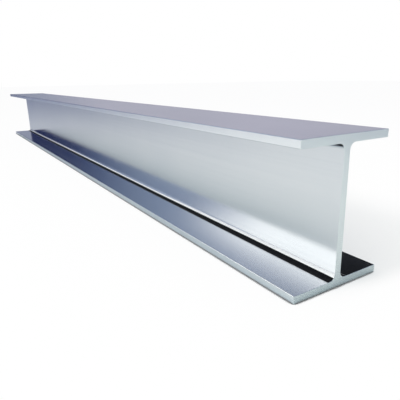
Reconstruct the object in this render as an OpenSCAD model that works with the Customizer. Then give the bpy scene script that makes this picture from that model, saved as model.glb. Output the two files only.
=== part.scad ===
// Rolled steel I-beam: one bar with parallel flanges, sawn square at both ends.
// It lies along X, centred on the origin, with the bottom flange flat on Z = 0.

/* [Section] */
// Depth of the section, over both flanges
depth = 194; // [150:1:400]
// Width of each flange, from toe to toe
flange_width = 150; // [100:1:300]
// Thickness of each flange
flange_thickness = 10.5; // [7:0.5:30]
// Thickness of the web
web_thickness = 10; // [5:0.5:20]
// Radius of the four root fillets, where the web meets the flanges
root_radius = 9; // [4:0.5:27]
// Radius that the rolls leave on each edge of the flange toes
toe_radius = 1; // [0.5:0.25:3]

/* [Length] */
// Length between the sawn ends
beam_length = 2000; // [500:10:6000]

/* [Hidden] */
// Segments in a full circle
$fn = 64;
// How far a fillet sinks into its plates, and a cut runs past its edge
overrun = 1;

// Levels in the section, measured from its centre
outer_level = depth / 2;
inner_level = outer_level - flange_thickness;
flange_level = (outer_level + inner_level) / 2;

// Distances in the section, measured from the middle of the web
web_face = web_thickness / 2;
toe_face = flange_width / 2;

// Sliver between a square corner at the origin and the round of this radius that fits in it
module corner_sliver(radius) {
    difference() {
        translate([-overrun, -overrun])
            square(radius + overrun);
        translate([radius, radius])
            circle(radius);
    }
}

// Repeats a shape from the upper right quarter of the section in all four quarters
module in_each_quarter() {
    for (side = [0, 1], level = [0, 1])
        mirror([side, 0])
            mirror([0, level])
                children();
}

// Web and flanges as plain rectangles, the web ending at mid-thickness of each flange
module plates() {
    square([web_thickness, 2 * flange_level], center = true);
    for (side = [-1, 1])
        translate([0, side * flange_level])
            square([flange_width, flange_thickness], center = true);
}

// Fillet that fills the corner between the web and the top flange
module root_fillet() {
    translate([web_face, inner_level])
        mirror([0, 1])
            corner_sliver(root_radius);
}

// Slivers that the rolls round away from the two edges of a toe
module toe_waste() {
    translate([toe_face, inner_level])
        mirror([1, 0])
            corner_sliver(toe_radius);
    translate([toe_face, outer_level])
        mirror([1, 0])
            mirror([0, 1])
                corner_sliver(toe_radius);
}

// Finished section, centred on the origin
module rolled_section() {
    difference() {
        union() {
            plates();
            in_each_quarter()
                root_fillet();
        }
        in_each_quarter()
            toe_waste();
    }
}

// The whole beam: the section run along X and lifted onto its bottom flange
module i_beam() {
    color("#b4bac6")
        translate([0, 0, outer_level])
            rotate([90, 0, 90])
                linear_extrude(height = beam_length, center = true)
                    rolled_section();
}

i_beam();
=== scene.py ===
"""Rolled steel I-beam on a pale studio floor: the finish of the beam, the stage around it and the camera."""

import math

import bpy
from mathutils import Matrix, Vector


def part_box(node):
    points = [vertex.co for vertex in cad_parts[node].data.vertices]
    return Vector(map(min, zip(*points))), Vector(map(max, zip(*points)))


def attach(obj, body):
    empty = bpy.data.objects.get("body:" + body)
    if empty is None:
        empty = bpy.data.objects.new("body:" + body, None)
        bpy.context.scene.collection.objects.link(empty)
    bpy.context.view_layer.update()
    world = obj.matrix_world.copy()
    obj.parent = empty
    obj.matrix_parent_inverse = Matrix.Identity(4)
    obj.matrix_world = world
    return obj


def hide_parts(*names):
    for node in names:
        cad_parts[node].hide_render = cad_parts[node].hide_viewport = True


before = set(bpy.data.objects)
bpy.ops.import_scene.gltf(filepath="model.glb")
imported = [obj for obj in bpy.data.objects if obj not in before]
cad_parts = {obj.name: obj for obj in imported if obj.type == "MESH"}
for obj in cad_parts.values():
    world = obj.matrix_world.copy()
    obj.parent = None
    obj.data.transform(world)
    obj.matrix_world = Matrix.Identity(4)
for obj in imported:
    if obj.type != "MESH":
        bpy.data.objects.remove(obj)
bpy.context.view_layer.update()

bl_info = {
    "name": "Rolled steel I-beam",
    "version": (1, 0, 0),
    "blender": (4, 5, 0),
    "location": "3D View > Sidebar > I-beam",
    "description": "Dresses a packed I-beam in rolled and sawn steel and sets it on a studio floor",
    "category": "Add Mesh",
}

NODE = "i_beam"
BODY = "root"

MM = 0.001
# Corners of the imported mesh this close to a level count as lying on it
SAME_LEVEL = 0.01 * MM
# The Wave Texture runs through one wave in this much of its scaled vector
WAVE_LENGTH = math.pi / 10
WHITE = (1.0, 1.0, 1.0, 1.0)


def linear(hex_color):
    """Turns an sRGB hex colour into linear red, green and blue, by the curve that sRGB sets."""
    shares = [int(hex_color[i:i + 2], 16) / 255 for i in (1, 3, 5)]
    return [c / 12.92 if c <= 0.04045 else ((c + 0.055) / 1.055) ** 2.4 for c in shares]


def per_metre(millimetres):
    """Turns the real size of a pattern's repeat into repeats in a metre."""
    return 1 / (millimetres * MM)


def opaque(color):
    """Adds full alpha to a colour, for a socket or a colour stop."""
    return (*color, 1.0)


def section_sizes():
    """Reads the rolled section's sizes, in metres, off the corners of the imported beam."""
    low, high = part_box(NODE)
    corners = [v.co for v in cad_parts[NODE].data.vertices]
    lower_half = [c for c in corners if c.z < (low.z + high.z) / 2]
    toe_levels = [c.z for c in lower_half if c.y > high.y - SAME_LEVEL]
    thickness = min(toe_levels) + max(toe_levels)
    return {
        "length": high.x - low.x,
        "depth": high.z - low.z,
        "flange_width": high.y - low.y,
        "flange_thickness": thickness,
        "web_thickness": 2 * min(abs(c.y) for c in corners),
        "root_radius": max(c.z for c in lower_half) - thickness,
        "toe_radius": min(toe_levels),
    }


SECTION = section_sizes()


class BeamSizes(bpy.types.PropertyGroup):
    """Sizes of the beam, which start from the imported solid's own."""

    length: bpy.props.FloatProperty(
        name="Length", description="Length between the sawn ends",
        default=SECTION["length"], unit="LENGTH")
    depth: bpy.props.FloatProperty(
        name="Depth", description="Depth of the section over both flanges",
        default=SECTION["depth"], unit="LENGTH")
    flange_width: bpy.props.FloatProperty(
        name="Flange width", description="Width of each flange from toe to toe",
        default=SECTION["flange_width"], unit="LENGTH")
    flange_thickness: bpy.props.FloatProperty(
        name="Flange thickness", description="Thickness of each flange",
        default=SECTION["flange_thickness"], unit="LENGTH", precision=4)
    web_thickness: bpy.props.FloatProperty(
        name="Web thickness", description="Thickness of the web",
        default=SECTION["web_thickness"], unit="LENGTH", precision=4)
    root_radius: bpy.props.FloatProperty(
        name="Root radius", description="Radius of the fillets between web and flanges",
        default=SECTION["root_radius"], unit="LENGTH", precision=4)
    toe_radius: bpy.props.FloatProperty(
        name="Toe radius", description="Radius on the edges of the flange toes",
        default=SECTION["toe_radius"], unit="LENGTH", precision=4)
    arris_radius: bpy.props.FloatProperty(
        name="Arris radius", description="Radius that deburring leaves round each sawn end",
        default=0.5 * MM, unit="LENGTH", precision=4)


class SteelFinish(bpy.types.PropertyGroup):
    """Colours and gloss of the rolled skin and of the sawn ends."""

    skin_color: bpy.props.FloatVectorProperty(
        name="Rolled skin", description="Colour of the rolled faces",
        default=linear("#d4d8dc"), subtype="COLOR", min=0, max=1)
    skin_streak_color: bpy.props.FloatVectorProperty(
        name="Roll streaks", description="Colour of the duller streaks along the rolled faces",
        default=linear("#cfd4d9"), subtype="COLOR", min=0, max=1)
    skin_roughness: bpy.props.FloatProperty(
        name="Rolled roughness", description="Roughness of the rolled faces",
        default=0.17, subtype="FACTOR", min=0, max=1)
    toe_color: bpy.props.FloatVectorProperty(
        name="Rubbed toes", description="Colour of the flange toes, rubbed bright by the rolls",
        default=linear("#e9edf0"), subtype="COLOR", min=0, max=1)
    scale_color: bpy.props.FloatVectorProperty(
        name="Painted shade in the roots", description="Colour of the painted shade line in the root fillets",
        default=linear("#0e1014"), subtype="COLOR", min=0, max=1)
    lime_color: bpy.props.FloatVectorProperty(
        name="Painted highlight in the roots",
        description="Colour of the painted highlight line above the painted shade",
        default=linear("#f4f6f8"), subtype="COLOR", min=0, max=1)
    root_roughness: bpy.props.FloatProperty(
        name="Root roughness", description="Roughness of the painted shade and highlight lines in the roots",
        default=0.6, subtype="FACTOR", min=0, max=1)
    sawn_color: bpy.props.FloatVectorProperty(
        name="Sawn ends", description="Colour of the freshly sawn ends",
        default=linear("#d0dadb"), subtype="COLOR", min=0, max=1)
    sawn_roughness: bpy.props.FloatProperty(
        name="Sawn roughness", description="Roughness of the sawn ends",
        default=0.28, subtype="FACTOR", min=0, max=1)


class StageSetup(bpy.types.PropertyGroup):
    """Floor, light and camera."""

    floor_color: bpy.props.FloatVectorProperty(
        name="Floor", description="Colour of the floor",
        default=linear("#f4f4f4"), subtype="COLOR", min=0, max=1)
    ambient_color: bpy.props.FloatVectorProperty(
        name="Ambient", description="Colour of the light that comes from all round",
        default=linear("#4b5c8a"), subtype="COLOR", min=0, max=1)
    key_power: bpy.props.FloatProperty(
        name="Key lamp", description="Power of the soft lamp above the near end",
        default=348.0, unit="POWER")
    side_strength: bpy.props.FloatProperty(
        name="Side lamp", description="Strength of the wide lamp from the front, in watts on a square metre",
        default=0.8)
    camera_azimuth: bpy.props.FloatProperty(
        name="Azimuth", description="Turn of the camera round the beam",
        default=math.radians(56.52), subtype="ANGLE")
    camera_elevation: bpy.props.FloatProperty(
        name="Elevation", description="Tilt of the camera below the horizon",
        default=math.radians(16.66), subtype="ANGLE")
    camera_roll: bpy.props.FloatProperty(
        name="Roll", description="Turn of the picture about its own centre",
        default=math.radians(-0.816), subtype="ANGLE")
    camera_from_end: bpy.props.FloatVectorProperty(
        name="Place", description="Camera's place, measured from the foot of the near end",
        default=(0.3030, -0.3826, 0.2563), subtype="TRANSLATION")
    camera_lens: bpy.props.FloatProperty(
        name="Lens", description="Focal length on a sensor 36 mm wide, in millimetres",
        default=36.65, unit="CAMERA")
    camera_shift: bpy.props.FloatProperty(
        name="Shift", description="Sideways shift of the picture, as a share of its width",
        default=-0.04)


# A new colour ramp has this many stops of its own
FIRST_STOPS = 2


def add(tree, kind, inputs=None, stops=None, **settings):
    """Adds a node, sets its attributes and colour stops, and fills its inputs with values or links."""
    node = tree.nodes.new(kind)
    for name, value in settings.items():
        setattr(node, name, value)
    for key, value in (inputs or {}).items():
        if isinstance(value, bpy.types.NodeSocket):
            tree.links.new(value, node.inputs[key])
        else:
            node.inputs[key].default_value = value
    for number, (place, color) in enumerate(stops or []):
        elements = node.color_ramp.elements
        element = elements[number] if number < FIRST_STOPS else elements.new(place)
        element.position = place
        element.color = opaque(color)
    return node


def empty_material(name):
    """A new material with an empty node tree."""
    material = bpy.data.materials.new(name)
    material.use_nodes = True
    material.node_tree.nodes.clear()
    return material


# Painted lines in the roots, as shares of the root radius: a dark line of painted shade and, above it, a pale
# line of painted highlight. Both lines climb from the far values to the near ones, from this share of the
# half length on
DRAIN_STARTS = 0.5
# How far up the web the painted shade reaches
SCALE_TOP_FAR = 0.2
SCALE_TOP_NEAR = 0.38
# How far out on the flange the painted shade starts to thin, and where it ends
SCALE_THINS = 1.26
SCALE_ENDS = 1.4
# How far up the web the painted highlight ends, how far below that it starts to thin, and its sharp edge on
# the painted shade
LIME_ENDS_FAR = 0.55
LIME_ENDS_NEAR = 1.04
LIME_THINS = 0.16
LIME_EDGE = 0.05
# Both painted lines have hardly any sheen
ROOT_SHEEN = 0.1

# Patterns on the rolled skin, in millimetres: streaks along the bar, clouds in the gloss, and pits and
# scratches, which are 0.6 mm wide and are drawn coarser, so that they show
STREAK_LENGTH = 1000
STREAK_WIDTH = 5
CLOUD_SIZE = 160
PIT_LENGTH = 14
PIT_WIDTH = 2
# The streaks are broken up a little more finely than the other patterns
STREAK_DETAIL = 3.0
STREAK_FINENESS = 0.6
# The clouds' share in the dullness that they and the streaks make
CLOUD_SHARE = 0.4
# The colour, and then the gloss, run from bright to dull between these two levels of dullness
COLOR_BRIGHT = 0.35
COLOR_DULL = 0.65
GLOSS_BRIGHT = 0.3
GLOSS_DULL = 0.7
# How far the roughness swings to either side
GLOSS_SWING = 0.03
# How strong and how deep the relief of the pits is
PIT_STRENGTH = 0.15
PIT_DEPTH = 0.01 * MM
# The bright rubbing starts this far in from each toe
RUB_WIDTH = 3 * MM


def rolled_steel(finish, sizes):
    """Hot-rolled steel, descaled, with painted shade and painted highlight lines in the roots."""
    # The rolls leave a satin mirror: soft reflections, faint streaks drawn out along the bar, slow clouds in
    # the gloss, and toes rubbed a little brighter than the wide faces. Each root has a black line of painted
    # shade, and the lower roots have a matt white line of painted highlight above it.
    material = empty_material("hot_rolled_steel_pickled_painted_root_lines")
    tree = material.node_tree
    place = add(tree, "ShaderNodeTexCoord").outputs["Object"]
    drawn_out = add(tree, "ShaderNodeMapping", {
        "Vector": place,
        "Scale": (per_metre(STREAK_LENGTH), per_metre(STREAK_WIDTH), per_metre(STREAK_WIDTH))})
    streaks = add(tree, "ShaderNodeTexNoise", {
        "Vector": drawn_out.outputs["Vector"], "Scale": 1.0, "Detail": STREAK_DETAIL,
        "Roughness": STREAK_FINENESS})
    clouds = add(tree, "ShaderNodeTexNoise", {"Vector": place, "Scale": per_metre(CLOUD_SIZE)})
    dullness = add(tree, "ShaderNodeMix", {
        "Factor": CLOUD_SHARE, "A": streaks.outputs["Fac"], "B": clouds.outputs["Fac"]}, data_type="FLOAT")
    skin = add(tree, "ShaderNodeMapRange", {
        "Value": dullness.outputs["Result"], "From Min": COLOR_BRIGHT, "From Max": COLOR_DULL})
    skin_color = add(tree, "ShaderNodeMix", {
        "Factor": skin.outputs["Result"], "A": opaque(finish.skin_color),
        "B": opaque(finish.skin_streak_color)}, data_type="RGBA")
    across = add(tree, "ShaderNodeSeparateXYZ", {"Vector": place})
    from_web = add(tree, "ShaderNodeMath", {0: across.outputs["Y"]}, operation="ABSOLUTE")
    toe_face = sizes.flange_width / 2
    rubbed = add(tree, "ShaderNodeMapRange", {
        "Value": from_web.outputs["Value"], "From Min": toe_face - RUB_WIDTH, "From Max": toe_face},
        interpolation_type="SMOOTHSTEP")
    bright = add(tree, "ShaderNodeMix", {
        "Factor": rubbed.outputs["Result"], "A": skin_color.outputs["Result"],
        "B": opaque(finish.toe_color)}, data_type="RGBA")
    # Distance from the inner face of the nearer flange
    level = add(tree, "ShaderNodeMath", {0: across.outputs["Z"], 1: sizes.depth / 2}, operation="SUBTRACT")
    from_middle = add(tree, "ShaderNodeMath", {0: level.outputs["Value"]}, operation="ABSOLUTE")
    rise = add(tree, "ShaderNodeMath", {
        0: sizes.depth / 2 - sizes.flange_thickness, 1: from_middle.outputs["Value"]}, operation="SUBTRACT")
    above = add(tree, "ShaderNodeMath", {0: rise.outputs["Value"]}, operation="ABSOLUTE")
    root = sizes.root_radius
    web_face = sizes.web_thickness / 2
    in_root = add(tree, "ShaderNodeMapRange", {
        "Value": from_web.outputs["Value"], "From Min": web_face + SCALE_ENDS * root,
        "From Max": web_face + SCALE_THINS * root})
    half = sizes.length / 2
    lime_ends = add(tree, "ShaderNodeMapRange", {
        "Value": across.outputs["X"], "From Min": DRAIN_STARTS * half, "From Max": half,
        "To Min": LIME_ENDS_FAR * root, "To Max": LIME_ENDS_NEAR * root})
    lime_thins = add(tree, "ShaderNodeMath", {
        0: lime_ends.outputs["Result"], 1: LIME_THINS * root}, operation="SUBTRACT")
    scale_top = add(tree, "ShaderNodeMapRange", {
        "Value": across.outputs["X"], "From Min": DRAIN_STARTS * half, "From Max": half,
        "To Min": SCALE_TOP_FAR * root, "To Max": SCALE_TOP_NEAR * root})
    lime_edge = add(tree, "ShaderNodeMath", {
        0: scale_top.outputs["Result"], 1: LIME_EDGE * root}, operation="ADD")
    # The upper roots have no painted highlight, only the painted shade
    lower = add(tree, "ShaderNodeMath", {0: level.outputs["Value"], 1: 0.0}, operation="LESS_THAN")
    mark_ends = add(tree, "ShaderNodeMix", {
        "Factor": lower.outputs["Value"], "A": lime_edge.outputs["Value"],
        "B": lime_ends.outputs["Result"]}, data_type="FLOAT")
    mark_thins = add(tree, "ShaderNodeMix", {
        "Factor": lower.outputs["Value"], "A": scale_top.outputs["Result"],
        "B": lime_thins.outputs["Value"]}, data_type="FLOAT")
    below_top = add(tree, "ShaderNodeMapRange", {
        "Value": above.outputs["Value"], "From Min": mark_ends.outputs["Result"],
        "From Max": mark_thins.outputs["Result"]})
    # Where the painted shade and highlight lines lie, the steel turns matt and takes their colour
    matt = add(tree, "ShaderNodeMath", {
        0: below_top.outputs["Result"], 1: in_root.outputs["Result"]}, operation="MULTIPLY")
    over_scale = add(tree, "ShaderNodeMapRange", {
        "Value": above.outputs["Value"], "From Min": scale_top.outputs["Result"],
        "From Max": lime_edge.outputs["Value"]})
    lime = add(tree, "ShaderNodeMath", {
        0: over_scale.outputs["Result"], 1: lower.outputs["Value"]}, operation="MULTIPLY")
    mark = add(tree, "ShaderNodeMix", {
        "Factor": lime.outputs["Value"], "A": opaque(finish.scale_color),
        "B": opaque(finish.lime_color)}, data_type="RGBA")
    color = add(tree, "ShaderNodeMix", {
        "Factor": matt.outputs["Value"], "A": bright.outputs["Result"],
        "B": mark.outputs["Result"]}, data_type="RGBA")
    metal = add(tree, "ShaderNodeMath", {0: 1.0, 1: matt.outputs["Value"]}, operation="SUBTRACT")
    gloss = add(tree, "ShaderNodeMapRange", {
        "Value": dullness.outputs["Result"], "From Min": GLOSS_BRIGHT, "From Max": GLOSS_DULL,
        "To Min": finish.skin_roughness - GLOSS_SWING, "To Max": finish.skin_roughness + GLOSS_SWING})
    roughness = add(tree, "ShaderNodeMix", {
        "Factor": matt.outputs["Value"], "A": gloss.outputs["Result"], "B": finish.root_roughness},
        data_type="FLOAT")
    grain = add(tree, "ShaderNodeMapping", {
        "Vector": place, "Scale": (per_metre(PIT_LENGTH), per_metre(PIT_WIDTH), per_metre(PIT_WIDTH))})
    pits = add(tree, "ShaderNodeTexNoise", {"Vector": grain.outputs["Vector"], "Scale": 1.0})
    relief = add(tree, "ShaderNodeBump", {
        "Strength": PIT_STRENGTH, "Distance": PIT_DEPTH, "Height": pits.outputs["Fac"]})
    surface = add(tree, "ShaderNodeBsdfPrincipled", {
        "Base Color": color.outputs["Result"], "Metallic": metal.outputs["Value"],
        "Roughness": roughness.outputs["Result"], "Specular IOR Level": ROOT_SHEEN,
        "Normal": relief.outputs["Normal"]})
    add(tree, "ShaderNodeOutputMaterial", {"Surface": surface.outputs["BSDF"]})
    return material


# The blade's axis passes 200 mm behind and 500 mm above the foot of the beam
BLADE_AXIS = (0.0, 200 * MM, 500 * MM)
# Patterns on the sawn ends, in millimetres: teeth marks, which are 0.8 mm apart and are drawn coarser,
# so that they show, and patches of heavier and lighter cut
TEETH_SPACING = 2.4
PATCH_SIZE = 30
# How far the teeth marks stray from true circles, and how fine that straying is
TEETH_STRAY = 1.5
STRAY_FINENESS = 0.6
# How far the roughness falls and rises with the cut
CUT_SMOOTHER = 0.04
CUT_ROUGHER = 0.08
# How strong and how deep the relief of the cut is
CUT_STRENGTH = 0.3
CUT_DEPTH = 0.02 * MM


def sawn_steel(finish):
    """Cold-sawn steel, deburred."""
    # The saw leaves bare bright metal with curved teeth marks, so the ends look paler and more matt than the
    # rolled faces and mirror nothing sharply.
    material = empty_material("cold_sawn_steel_deburred")
    tree = material.node_tree
    place = add(tree, "ShaderNodeTexCoord").outputs["Object"]
    from_axis = add(tree, "ShaderNodeMapping", {
        "Vector": place, "Location": [-distance for distance in BLADE_AXIS]})
    marks = add(tree, "ShaderNodeTexWave", {
        "Vector": from_axis.outputs["Vector"], "Scale": WAVE_LENGTH * per_metre(TEETH_SPACING),
        "Distortion": TEETH_STRAY, "Detail Scale": STRAY_FINENESS},
        wave_type="RINGS", rings_direction="X")
    patches = add(tree, "ShaderNodeTexNoise", {"Vector": place, "Scale": per_metre(PATCH_SIZE)})
    cut = add(tree, "ShaderNodeMath", {
        0: marks.outputs["Fac"], 1: patches.outputs["Fac"]}, operation="MULTIPLY")
    color = add(tree, "ShaderNodeMix", {
        "Factor": cut.outputs["Value"], "A": opaque(finish.sawn_color),
        "B": opaque(finish.skin_streak_color)}, data_type="RGBA")
    roughness = add(tree, "ShaderNodeMapRange", {
        "Value": cut.outputs["Value"], "To Min": finish.sawn_roughness - CUT_SMOOTHER,
        "To Max": finish.sawn_roughness + CUT_ROUGHER})
    relief = add(tree, "ShaderNodeBump", {
        "Strength": CUT_STRENGTH, "Distance": CUT_DEPTH, "Height": cut.outputs["Value"]})
    surface = add(tree, "ShaderNodeBsdfPrincipled", {
        "Base Color": color.outputs["Result"], "Metallic": 1.0,
        "Roughness": roughness.outputs["Result"], "Normal": relief.outputs["Normal"]})
    add(tree, "ShaderNodeOutputMaterial", {"Surface": surface.outputs["BSDF"]})
    return material


# Steps of the round stretches, each a quarter turn
ROOT_STEPS = 16
TOE_STEPS = 6
ARRIS_STEPS = 4
# Spacing of the rings along the beam
RING_SPACING = 100 * MM


def arc(centre, radius, start, end, steps, hollow=False):
    """Points and outward normals along an arc in the section, with angles in degrees."""
    found = []
    for step in range(steps + 1):
        angle = math.radians(start + (end - start) * step / steps)
        way = Vector((math.cos(angle), math.sin(angle)))
        found.append((Vector(centre) + radius * way, -way if hollow else way))
    return found


def section_outline(sizes, inset):
    """Outline of the section with its outward normals, anticlockwise, drawn in by inset all round."""
    toe_face = sizes.flange_width / 2 - inset
    outer = sizes.depth / 2 - inset
    inner = sizes.depth / 2 - sizes.flange_thickness + inset
    web_face = sizes.web_thickness / 2 - inset
    toe = sizes.toe_radius - inset
    root = sizes.root_radius + inset
    # The upper right quarter, from the web up round the root and out to the toe's top edge
    quarter = [
        *arc((web_face + root, inner - root), root, 180, 90, ROOT_STEPS, hollow=True),
        *arc((toe_face - toe, inner + toe), toe, -90, 0, TOE_STEPS),
        *arc((toe_face - toe, outer - toe), toe, 0, 90, TOE_STEPS),
    ]

    def mirrored(x, y):
        """The quarter, turned over by the signs of its two axes."""
        return [(Vector((p.x * x, p.y * y)), Vector((n.x * x, n.y * y))) for p, n in quarter]

    return [*mirrored(1, 1), *mirrored(-1, 1)[::-1], *mirrored(-1, -1), *mirrored(1, -1)[::-1]]


def rings_along(sizes):
    """Each ring of the beam from end to end: its place on X, its inset and how far its normals lean to X."""
    half = sizes.length / 2
    radius = sizes.arris_radius
    bends = [math.radians(90 * step / ARRIS_STEPS) for step in range(ARRIS_STEPS + 1)]
    near_end = [
        (half - radius + radius * math.sin(a), radius - radius * math.cos(a), math.sin(a)) for a in bends]
    straight = half - radius
    count = round(2 * straight / RING_SPACING)
    between = [(straight * (2 * n / count - 1), 0.0, 0.0) for n in range(1, count)]
    far_end = [(-x, inset, -lean) for x, inset, lean in reversed(near_end)]
    return [*far_end, *between, *near_end]


def beam_mesh(sizes):
    """Mesh of the beam, with true normals on its fillets and edges; its end faces use the second material."""
    points = []
    normals = []
    faces = []
    sawn = []
    rings = rings_along(sizes)
    leans = [lean for _, _, lean in rings]
    middle = sizes.depth / 2
    for x, inset, lean in rings:
        upright = math.sqrt(1 - lean * lean)
        for p, n in section_outline(sizes, inset):
            points.append((x, p.x, middle + p.y))
            normals.append((lean, upright * n.x, upright * n.y))
    around = len(points) // len(rings)
    for ring in range(len(rings) - 1):
        for n in range(around):
            here = ring * around + n
            after = ring * around + (n + 1) % around
            faces.append((here, after, after + around, here + around))
            sawn.append(leans[ring] < 0 or leans[ring + 1] > 0)
    last = (len(rings) - 1) * around
    faces.append(tuple(range(around))[::-1])
    faces.append(tuple(range(last, last + around)))
    sawn += [True, True]
    mesh = bpy.data.meshes.new("rolled_beam")
    mesh.from_pydata(points, [], faces)
    mesh.polygons.foreach_set("use_smooth", [True] * len(faces))
    mesh.polygons.foreach_set("material_index", [int(s) for s in sawn])
    mesh.normals_split_custom_set_from_vertices(normals)
    if mesh.validate():
        raise RuntimeError("the beam's mesh has faults")
    return mesh


class BuildBeam(bpy.types.Operator):
    """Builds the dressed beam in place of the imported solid"""

    bl_idname = "ibeam.build_beam"
    bl_label = "Build beam"

    def execute(self, context):
        sizes = context.scene.ibeam_sizes
        finish = context.scene.ibeam_finish
        beam = bpy.data.objects.new("rolled_beam", beam_mesh(sizes))
        context.scene.collection.objects.link(beam)
        beam.data.materials.append(rolled_steel(finish, sizes))
        beam.data.materials.append(sawn_steel(finish))
        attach(beam, BODY)
        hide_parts(NODE)
        return {"FINISHED"}


# Places and sizes on the stage are in metres

# The floor lies a hair below the beam, so that the two faces don't fight
FLOOR_DROP = 0.2 * MM
FLOOR_SIZE = 40.0
# How far the floor is lifted to white: for the eye in front of the beam and behind it, and in the steel
LIFT_FRONT = 0.97
LIFT_BEHIND = 0.6
LIFT_MIRRORED = 0.1
# The shadow shows behind the beam, fades out between two distances from the web, and ends a little past the
# beam's ends
FRONT_END = -0.05
BEHIND_START = 0.08
SHADOW_FADES = 0.25
SHADOW_ENDS = 0.45
SHADOW_PAST_END = 40 * MM
# Painted shade darkens the paper's colour near the steel: a wide shade and a close one reach this far, and
# each runs from full to none between two shares of open air over the paper. Where beam and paper touch, up to
# one more such share, the paper has the tone of a painted contact shadow, and this line isn't lifted to
# white.
SHADE_COLOR = "#b0bcc5"
SHADE_REACH = 350 * MM
SHADE_FULL = 0.42
SHADE_NONE = 1.02
TOUCH_COLOR = "#828386"
TOUCH_REACH = 16 * MM
TOUCH_FULL = 0.55
TOUCH_LINE = 0.64
TOUCH_NONE = 1.0

# Ring of cards round the beam
RING_RADIUS = 8.0
RING_HEIGHT = 15.0
RING_SIDES = 96
# Tones of the cards, from the lavender corners (0) past the beam's ends and sides to the slate corners (1)
CARD_MIDDLE = 0.5
CARD_TONES = (
    (0.0, "#bebccb"), (0.04, "#bab9c7"), (0.2, "#b8b7c6"), (0.33, "#9ca1b4"), (0.43, "#9599ad"),
    (CARD_MIDDLE, "#878ca2"), (0.56, "#5f6582"), (0.6, "#232b4c"), (0.63, "#0e1852"), (0.73, "#0e1852"),
    (0.79, "#5d6d98"), (0.85, "#8f9db8"), (0.9, "#a6b5d0"), (1.0, "#c5cee4"))
# The slate corners start at the first of these shares and are full at the second
SLATE_STARTS = 0.72
SLATE_FULL = 0.85
# The cards beside the beam have one tone, which starts and is full at these shares of the ring's radius on X
SIDE_TONE = "#a0a6b8"
SIDE_STARTS = 0.5
SIDE_FULL = 0.35
# Higher up the cards have one tone, which starts at the first height, or at the second one in the slate
# corners, and is full after this fade. Above the last height they pale to white.
UPPER_TONE = "#a2a8b5"
UPPER_STARTS = 3.4
UPPER_STARTS_SLATE = 4.8
UPPER_FADE = 1.2
WHITE_STARTS = 9.0

# A soft lamp above the near end, and a wide one in front that throws the shadow back
KEY_PLACE = (3.5, -2.5, 2.7)
KEY_WAY = (0.0, 0.0, -1.0)
KEY_SIZE = 7.4
KEY_COLOR = "#fffde8"
SIDE_PLACE = (0.0, -3.0, 2.0)
SIDE_WAY = (0.35, 0.78, -0.55)
SIDE_SPREAD = math.radians(25)

# The camera draws what is at least this far from it
CLIP_START = 10 * MM
# The one face of a rectangle's four corners
ONE_FACE = [(0, 1, 2, 3)]


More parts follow.
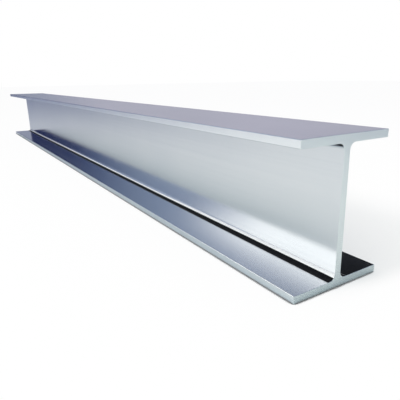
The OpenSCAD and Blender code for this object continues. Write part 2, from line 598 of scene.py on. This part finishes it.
def paper_floor(setup):
    """White studio paper, matt."""
    # Matt paper shows soft shadows only. It is lifted to white, nearly in full for the eye and a little in
    # the steel, so that the background is white and the floor keeps the beam's shadow.
    material = empty_material("white_studio_paper_matt")
    tree = material.node_tree
    place = add(tree, "ShaderNodeTexCoord").outputs["Object"]
    across = add(tree, "ShaderNodeSeparateXYZ", {"Vector": place})
    behind = add(tree, "ShaderNodeMapRange", {
        "Value": across.outputs["Y"], "From Min": FRONT_END, "From Max": BEHIND_START,
        "To Min": LIFT_FRONT, "To Max": LIFT_BEHIND}, interpolation_type="SMOOTHSTEP")
    faded = add(tree, "ShaderNodeMapRange", {
        "Value": across.outputs["Y"], "From Min": SHADOW_FADES, "From Max": SHADOW_ENDS,
        "To Min": behind.outputs["Result"], "To Max": LIFT_FRONT}, interpolation_type="SMOOTHSTEP")
    along = add(tree, "ShaderNodeMath", {0: across.outputs["X"]}, operation="ABSOLUTE")
    beam_end = SECTION["length"] / 2
    lift = add(tree, "ShaderNodeMapRange", {
        "Value": along.outputs["Value"], "From Min": beam_end, "From Max": beam_end + SHADOW_PAST_END,
        "To Min": faded.outputs["Result"], "To Max": LIFT_FRONT}, interpolation_type="SMOOTHSTEP")
    # Painted shade darkens the paper close to the steel, and a painted contact shadow leaves a dark line
    # where they meet
    wide = add(tree, "ShaderNodeAmbientOcclusion", {"Distance": SHADE_REACH}).outputs["AO"]
    close = add(tree, "ShaderNodeAmbientOcclusion", {"Distance": TOUCH_REACH}).outputs["AO"]
    wide_air = add(tree, "ShaderNodeMapRange", {
        "Value": wide, "From Min": SHADE_FULL, "From Max": SHADE_NONE})
    close_air = add(tree, "ShaderNodeMapRange", {
        "Value": close, "From Min": TOUCH_FULL, "From Max": TOUCH_NONE})
    open_air = add(tree, "ShaderNodeMath", {
        0: wide_air.outputs["Result"], 1: close_air.outputs["Result"]}, operation="MULTIPLY")
    shade = add(tree, "ShaderNodeMix", {
        "Factor": open_air.outputs["Value"], "A": opaque(linear(SHADE_COLOR)),
        "B": opaque(setup.floor_color)}, data_type="RGBA")
    off_line = add(tree, "ShaderNodeMapRange", {
        "Value": close, "From Min": TOUCH_FULL, "From Max": TOUCH_LINE}, interpolation_type="SMOOTHSTEP")
    tone = add(tree, "ShaderNodeMix", {
        "Factor": off_line.outputs["Result"], "A": opaque(linear(TOUCH_COLOR)),
        "B": shade.outputs["Result"]}, data_type="RGBA")
    clear = add(tree, "ShaderNodeMath", {
        0: lift.outputs["Result"], 1: off_line.outputs["Result"]}, operation="MULTIPLY")
    ray = add(tree, "ShaderNodeLightPath").outputs
    seen = add(tree, "ShaderNodeMath", {
        0: ray["Is Camera Ray"], 1: ray["Is Transmission Ray"]}, operation="MAXIMUM")
    lifted = add(tree, "ShaderNodeMath", {
        0: seen.outputs["Value"], 1: clear.outputs["Value"]}, operation="MULTIPLY")
    mirrored = add(tree, "ShaderNodeMath", {0: ray["Is Glossy Ray"], 1: LIFT_MIRRORED}, operation="MULTIPLY")
    share = add(tree, "ShaderNodeMath", {
        0: lifted.outputs["Value"], 1: mirrored.outputs["Value"]}, operation="MAXIMUM")
    paper = add(tree, "ShaderNodeBsdfDiffuse", {"Color": tone.outputs["Result"]})
    white = add(tree, "ShaderNodeEmission", {"Color": WHITE, "Strength": 1.0})
    surface = add(tree, "ShaderNodeMixShader", {
        0: share.outputs["Value"], 1: paper.outputs["BSDF"], 2: white.outputs["Emission"]})
    add(tree, "ShaderNodeOutputMaterial", {"Surface": surface.outputs["Shader"]})
    return material


def graded_cards():
    """Glowing studio cards: a painted reflection, seen only in the steel."""
    # The cards stand in a ring for the steel to mirror: lavender at two corners, slate at the other two, navy
    # between, and paler towards the top.
    material = empty_material("glowing_reflection_cards")
    tree = material.node_tree
    place = add(tree, "ShaderNodeTexCoord").outputs["Object"]
    part = add(tree, "ShaderNodeSeparateXYZ", {"Vector": place})
    side = add(tree, "ShaderNodeMath", {0: part.outputs["X"], 1: part.outputs["Y"]}, operation="MULTIPLY")
    turn = add(tree, "ShaderNodeMath", {
        0: side.outputs["Value"], 1: 1 / RING_RADIUS ** 2, 2: CARD_MIDDLE}, operation="MULTIPLY_ADD")
    low = add(tree, "ShaderNodeValToRGB", {"Fac": turn.outputs["Value"]}, stops=[
        (share, linear(hex_color)) for share, hex_color in CARD_TONES])
    along = add(tree, "ShaderNodeMath", {0: part.outputs["X"]}, operation="ABSOLUTE")
    beside = add(tree, "ShaderNodeMapRange", {
        "Value": along.outputs["Value"], "From Min": SIDE_STARTS * RING_RADIUS,
        "From Max": SIDE_FULL * RING_RADIUS}, interpolation_type="SMOOTHSTEP")
    lower = add(tree, "ShaderNodeMix", {
        "Factor": beside.outputs["Result"], "A": low.outputs["Color"],
        "B": opaque(linear(SIDE_TONE))}, data_type="RGBA")
    starts = add(tree, "ShaderNodeMapRange", {
        "Value": turn.outputs["Value"], "From Min": SLATE_STARTS, "From Max": SLATE_FULL,
        "To Min": UPPER_STARTS, "To Max": UPPER_STARTS_SLATE}, interpolation_type="SMOOTHSTEP")
    above = add(tree, "ShaderNodeMath", {
        0: part.outputs["Z"], 1: starts.outputs["Result"]}, operation="SUBTRACT")
    upper = add(tree, "ShaderNodeMapRange", {
        "Value": above.outputs["Value"], "From Max": UPPER_FADE}, interpolation_type="SMOOTHSTEP")
    tone = add(tree, "ShaderNodeMix", {
        "Factor": upper.outputs["Result"], "A": lower.outputs["Result"],
        "B": opaque(linear(UPPER_TONE))}, data_type="RGBA")
    rim = add(tree, "ShaderNodeMapRange", {
        "Value": part.outputs["Z"], "From Min": WHITE_STARTS, "From Max": RING_HEIGHT},
        interpolation_type="SMOOTHSTEP")
    whole = add(tree, "ShaderNodeMix", {
        "Factor": rim.outputs["Result"], "A": tone.outputs["Result"], "B": WHITE}, data_type="RGBA")
    glow = add(tree, "ShaderNodeEmission", {"Color": whole.outputs["Result"], "Strength": 1.0})
    add(tree, "ShaderNodeOutputMaterial", {"Surface": glow.outputs["Emission"]})
    return material


def hung_cloth(panel):
    """A glowing sheet, seen only in the steel."""
    # A soft box's white cloth or a flag's black one, which thins out towards its hems.
    material = empty_material(panel["cloth"])
    tree = material.node_tree
    place = add(tree, "ShaderNodeTexCoord").outputs["Object"]
    part = add(tree, "ShaderNodeSeparateXYZ", {"Vector": place})
    shares = []
    for axis, size, hems in zip("XY", panel["size"], panel["hems"]):
        for side, hem in zip((-1, 1), hems):
            edge = side * size / 2
            shares.append(add(tree, "ShaderNodeMapRange", {
                "Value": part.outputs[axis], "From Min": edge, "From Max": edge - side * hem},
                interpolation_type="SMOOTHSTEP").outputs["Result"])
    lit = shares[0]
    for share in shares[1:]:
        lit = add(tree, "ShaderNodeMath", {0: lit, 1: share}, operation="MULTIPLY").outputs["Value"]
    clear = add(tree, "ShaderNodeBsdfTransparent")
    glow = add(tree, "ShaderNodeEmission", {
        "Color": opaque(linear(panel["color"])), "Strength": panel["strength"]})
    surface = add(tree, "ShaderNodeMixShader", {
        0: lit, 1: clear.outputs["BSDF"], 2: glow.outputs["Emission"]})
    add(tree, "ShaderNodeOutputMaterial", {"Surface": surface.outputs["Shader"]})
    return material


# A soft box and a flag are held level, a little lower than the top face, which can't mirror them there: the
# box in front of the beam's near half, the flag behind the beam, thinning out towards the far end. Hems are
# given for the left and right edges, then for the front and back ones.
# The soft box is a painted highlight and the flag a painted dark reflection: both are seen only in the steel
# and light nothing.
PANEL_LEVEL = 190 * MM
PANELS = {
    "softbox": {
        "cloth": "painted_highlight_sheet", "color": "#fffbf4", "strength": 2.4,
        "centre": (0.5, -0.355), "size": (0.9, 0.39), "hems": ((0.5, 0.1), (0.04, 0.15))},
    "flag": {
        "cloth": "painted_dark_reflection_sheet", "color": "#0c0f12", "strength": 1.0,
        "centre": (0.05, 0.37), "size": (1.8, 0.44), "hems": ((1.1, 0.06), (0.06, 0.06))},
}


def studio_world(setup):
    """Soft light from all round, white to look at."""
    world = bpy.data.worlds.new("studio")
    world.use_nodes = True
    tree = world.node_tree
    tree.nodes.clear()
    ray = add(tree, "ShaderNodeLightPath").outputs
    seen = add(tree, "ShaderNodeMath", {
        0: ray["Is Camera Ray"], 1: ray["Is Transmission Ray"]}, operation="MAXIMUM")
    looked_at = add(tree, "ShaderNodeMath", {
        0: seen.outputs["Value"], 1: ray["Is Glossy Ray"]}, operation="MAXIMUM")
    light = add(tree, "ShaderNodeBackground", {"Color": opaque(setup.ambient_color), "Strength": 1.0})
    white = add(tree, "ShaderNodeBackground", {"Color": WHITE, "Strength": 1.0})
    surface = add(tree, "ShaderNodeMixShader", {
        0: looked_at.outputs["Value"], 1: light.outputs["Background"], 2: white.outputs["Background"]})
    add(tree, "ShaderNodeOutputWorld", {"Surface": surface.outputs["Shader"]})
    return world


def stage_piece(scene, name, points, faces, material):
    """Adds a mesh to the stage."""
    mesh = bpy.data.meshes.new(name)
    mesh.from_pydata(points, [], faces)
    mesh.materials.append(material)
    piece = bpy.data.objects.new(name, mesh)
    scene.collection.objects.link(piece)
    return piece


def mirror_only(piece):
    """Leaves a piece of the stage for the steel to mirror, with no other part in the picture or the light."""
    piece.visible_camera = False
    piece.visible_diffuse = False
    piece.visible_shadow = False


def rectangle(width, depth):
    """Corners of a rectangle about the origin, in the XY plane."""
    return [(x * width / 2, y * depth / 2, 0.0) for x, y in ((-1, -1), (1, -1), (1, 1), (-1, 1))]


def lay_floor(scene, setup):
    """Lays the paper floor under the beam."""
    floor = stage_piece(scene, "floor", rectangle(FLOOR_SIZE, FLOOR_SIZE), ONE_FACE, paper_floor(setup))
    floor.location.z = -FLOOR_DROP


def stand_cards(scene):
    """Stands the cards in a ring round the beam."""
    turns = [2 * math.pi * n / RING_SIDES for n in range(RING_SIDES)]
    foot = [(RING_RADIUS * math.cos(a), RING_RADIUS * math.sin(a), 0.0) for a in turns]
    top = [(x, y, RING_HEIGHT) for x, y, _ in foot]
    after = [(n + 1) % RING_SIDES for n in range(RING_SIDES)]
    faces = [(n, after[n], after[n] + RING_SIDES, n + RING_SIDES) for n in range(RING_SIDES)]
    mirror_only(stage_piece(scene, "cards", foot + top, faces, graded_cards()))


def hang_panels(scene):
    """Hangs the soft box and the flag."""
    for name, panel in PANELS.items():
        hung = stage_piece(scene, name, rectangle(*panel["size"]), ONE_FACE, hung_cloth(panel))
        hung.location = (*panel["centre"], PANEL_LEVEL)
        mirror_only(hung)


def hang_lamp(scene, name, kind, place, way, **settings):
    """Adds a lamp that the camera and the steel don't see."""
    light = bpy.data.lights.new(name, kind)
    for setting, value in settings.items():
        setattr(light, setting, value)
    lamp = bpy.data.objects.new(name, light)
    lamp.location = place
    lamp.rotation_euler = Vector(way).to_track_quat("-Z", "Y").to_euler()
    lamp.visible_glossy = False
    lamp.visible_camera = False
    scene.collection.objects.link(lamp)


def set_camera(scene, setup):
    """Sets the camera up by the foot of the beam's near end."""
    low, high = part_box(NODE)
    near_foot = Vector((high.x, 0.0, low.z))
    lens = bpy.data.cameras.new("camera")
    lens.lens = setup.camera_lens
    lens.shift_x = setup.camera_shift
    lens.clip_start = CLIP_START
    camera = bpy.data.objects.new("camera", lens)
    turn = Matrix.Rotation(setup.camera_azimuth, 4, "Z")
    tilt = Matrix.Rotation(math.pi / 2 - setup.camera_elevation, 4, "X")
    roll = Matrix.Rotation(setup.camera_roll, 4, "Z")
    place = Matrix.Translation(near_foot + Vector(setup.camera_from_end))
    camera.matrix_world = place @ turn @ tilt @ roll
    scene.collection.objects.link(camera)
    scene.camera = camera


class BuildStage(bpy.types.Operator):
    """Sets the floor, the cards, the panels, the lamps and the camera round the beam"""

    bl_idname = "ibeam.build_stage"
    bl_label = "Build stage"

    def execute(self, context):
        scene = context.scene
        setup = scene.ibeam_stage
        scene.view_settings.view_transform = "Standard"
        scene.world = studio_world(setup)
        lay_floor(scene, setup)
        stand_cards(scene)
        hang_panels(scene)
        hang_lamp(
            scene, "key_lamp", "AREA", KEY_PLACE, KEY_WAY, size=KEY_SIZE, energy=setup.key_power,
            color=linear(KEY_COLOR))
        hang_lamp(
            scene, "side_lamp", "SUN", SIDE_PLACE, SIDE_WAY, angle=SIDE_SPREAD, energy=setup.side_strength)
        set_camera(scene, setup)
        return {"FINISHED"}


class BeamPanel(bpy.types.Panel):
    """Sizes, finish and stage of the beam"""

    bl_idname = "VIEW3D_PT_ibeam"
    bl_label = "I-beam"
    bl_space_type = "VIEW_3D"
    bl_region_type = "UI"
    bl_category = "I-beam"

    def draw(self, context):
        """Lists each group's settings, with the operator that uses them below."""
        scene = context.scene
        for group, operator in (
            ("ibeam_sizes", None), ("ibeam_finish", BuildBeam), ("ibeam_stage", BuildStage)):
            box = self.layout.box()
            settings = getattr(scene, group)
            for name in settings.__annotations__:
                box.prop(settings, name)
            if operator:
                box.operator(operator.bl_idname)


CLASSES = (BeamSizes, SteelFinish, StageSetup, BuildBeam, BuildStage, BeamPanel)
GROUPS = {"ibeam_sizes": BeamSizes, "ibeam_finish": SteelFinish, "ibeam_stage": StageSetup}


def register():
    """Adds the classes, and their settings to the scene."""
    for cls in CLASSES:
        bpy.utils.register_class(cls)
    for name, group in GROUPS.items():
        setattr(bpy.types.Scene, name, bpy.props.PointerProperty(type=group))


def unregister():
    """Takes the settings and the classes away again."""
    for name in GROUPS:
        delattr(bpy.types.Scene, name)
    for cls in reversed(CLASSES):
        bpy.utils.unregister_class(cls)


def main():
    """Builds the stage and the beam."""
    register()
    bpy.ops.ibeam.build_stage()
    bpy.ops.ibeam.build_beam()


if __name__ == "__main__":
    main()
